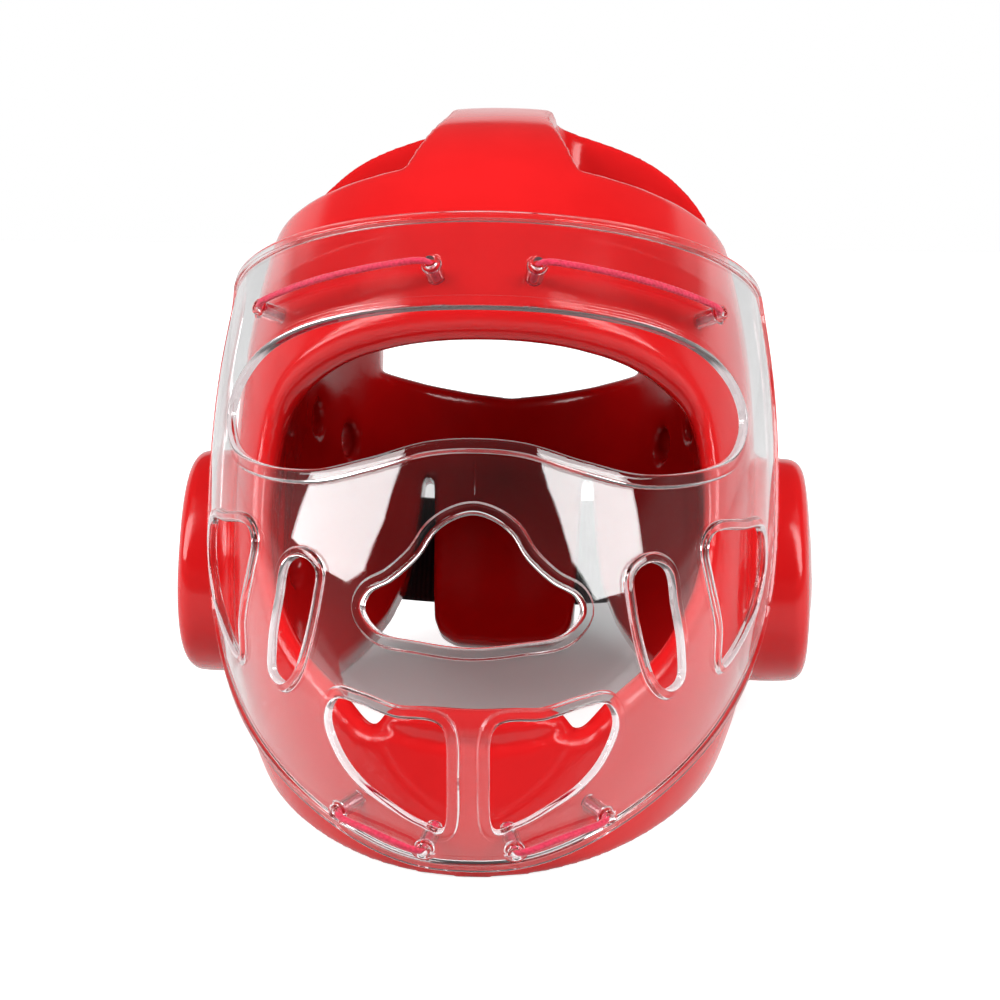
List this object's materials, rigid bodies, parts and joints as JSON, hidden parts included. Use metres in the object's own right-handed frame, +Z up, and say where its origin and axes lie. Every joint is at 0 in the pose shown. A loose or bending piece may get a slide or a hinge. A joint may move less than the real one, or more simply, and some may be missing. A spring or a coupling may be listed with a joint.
{
  "type": "head guard with face mask",
  "caption": "Padded foam sparring head guard with an open crown, moulded ear pads and a clear vented face mask laced to its front, closed at the back by an elastic strap.",
  "frame": {"origin": "middle of the guard's box, at the level of the table it stands on", "axes": "+Z up from the table, +Y toward the back of the head, so the mask looks along -Y, +X toward the wearer's left"},
  "size_m": [0.2398, 0.3128, 0.2291],
  "materials": {
    "red_foam": "glossy red vinyl skin dipped over foam",
    "clear_plastic": "clear polished polycarbonate",
    "cord": "braided pink-red cord",
    "elastic": "woven black elastic"
  },
  "bodies": {
    "root": {"foam_shell": "red_foam", "face_mask": "clear_plastic", "lace_top_left": "cord", "lace_top_right": "cord", "lace_bottom_left": "cord", "lace_bottom_right": "cord", "rear_strap": "elastic"}
  },
  "joints": []
}
